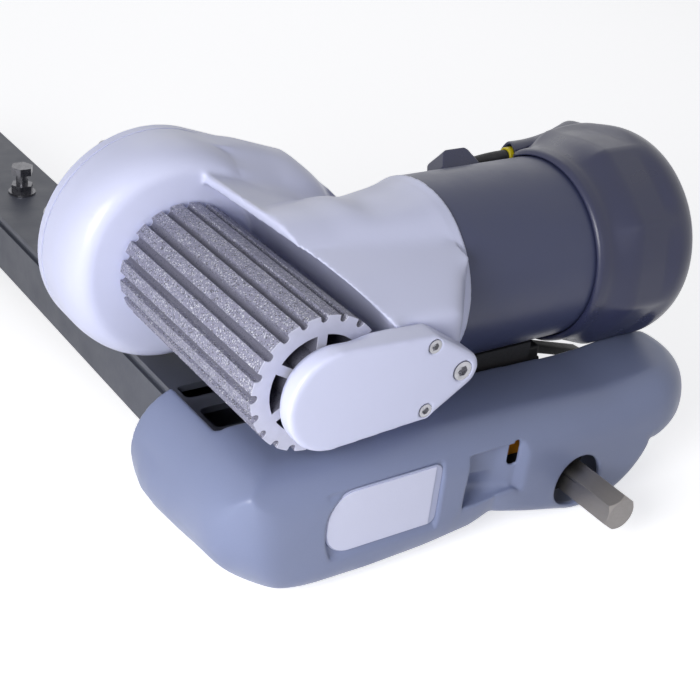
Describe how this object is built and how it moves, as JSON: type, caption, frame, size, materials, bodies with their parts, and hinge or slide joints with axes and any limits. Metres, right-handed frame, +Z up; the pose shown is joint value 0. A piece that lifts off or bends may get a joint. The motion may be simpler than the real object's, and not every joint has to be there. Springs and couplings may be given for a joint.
{
  "type": "caravan motor mover",
  "caption": "Caravan mover side unit: an electric motor and gear case turn a ribbed roller and slide on a cowled base, wound by a hexagon and hung from a hollow cross bar.",
  "frame": {"origin": "middle of the drive roller's axis, with the roller wound clear of the tyre", "axes": "+X away from the tyre along the motor, +Y inboard along the roller and the cross bar, +Z up"},
  "size_m": [0.341, 0.5635, 0.184],
  "materials": {
    "bar_paint": "satin",
    "cowl": "satin",
    "casting": "painted satin",
    "grit": "gritted",
    "steel": "machined",
    "zinc": "zinc plated",
    "black_steel": "satin",
    "bronze": "machined",
    "motor_paint": "satin",
    "cap_plastic": "satin",
    "alloy": "cast",
    "black_rubber": "matte",
    "flag_orange": "gloss",
    "ring_yellow": "gloss",
    "label_white": "gloss",
    "magnet": "ferrite",
    "phenolic": "moulded",
    "carbon": "pressed",
    "copper": "wound"
  },
  "bodies": {
    "base": {"cross_bar": "bar_paint", "bar_bolt": "zinc", "bar_nut": "zinc", "bar_plug": "steel", "frame_bolts": "zinc", "base_frame": "black_steel", "guide_rods": "steel", "rod_screws": "zinc", "shaft_bushes": "bronze", "base_cover": "cowl", "cover_screws": "zinc", "label_plate": "label_white"},
    "drive_unit": {"carriage": "black_steel", "slide_bushes": "bronze", "gear_rack": "steel", "rack_screws": "zinc", "saddle_bolts": "zinc", "indicator_flag": "flag_orange", "flag_screw": "zinc", "gearbox_case": "casting", "rear_cover": "casting", "rear_cover_screws": "zinc", "support_arm": "casting", "arm_screws": "zinc", "ear_screw": "zinc", "roller_bearings": "steel", "roller_seal": "black_rubber", "layshaft_bearings": "steel", "worm_bearings": "steel", "motor_tube": "motor_paint", "motor_magnets": "magnet", "end_bell": "alloy", "end_bell_screws": "zinc", "brush_holders": "phenolic", "brushes": "carbon", "motor_cap": "cap_plastic", "cable_ring": "ring_yellow", "motor_cable": "black_rubber", "cable_clip": "cap_plastic", "clip_screw": "zinc"},
    "actuator": {"hex_shaft": "steel", "actuator_pinion": "steel", "shaft_circlip": "black_steel"},
    "roller_group": {"roller": "grit", "roller_shaft": "steel", "final_gear": "steel"},
    "layshaft_group": {"layshaft": "steel", "worm_wheel": "bronze"},
    "armature": {"worm_shaft": "steel", "armature_core": "steel", "armature_coils": "copper", "commutator": "copper"}
  },
  "joints": [
    {"name": "drive_slide", "type": "slide", "parent": "base", "child": "drive_unit", "axis": [-1, 0, 0], "range_m": [0, 0.03]},
    {"name": "hex_turn", "type": "hinge", "parent": "base", "child": "actuator", "pos_m": [0.178, -0.0885, -0.1], "axis": [0, -1, 0], "range_deg": [0, 122.8]},
    {"name": "roller_spin", "type": "hinge", "parent": "drive_unit", "child": "roller_group", "pos_m": [0, 0, 0], "axis": [0, 1, 0], "continuous": true},
    {"name": "layshaft_spin", "type": "hinge", "parent": "drive_unit", "child": "layshaft_group", "pos_m": [0.06251, 0.05, -0.02715], "axis": [0, 1, 0], "continuous": true},
    {"name": "armature_spin", "type": "hinge", "parent": "drive_unit", "child": "armature", "pos_m": [0.15, 0.0145, 0], "axis": [1, 0, 0], "continuous": true}
  ],
  "couplings": [
    {"joint": "hex_turn", "follows": "drive_slide", "rad_per_m": 71.429},
    {"joint": "layshaft_spin", "follows": "roller_spin", "ratio": -2.7778},
    {"joint": "armature_spin", "follows": "roller_spin", "ratio": 41.667}
  ]
}
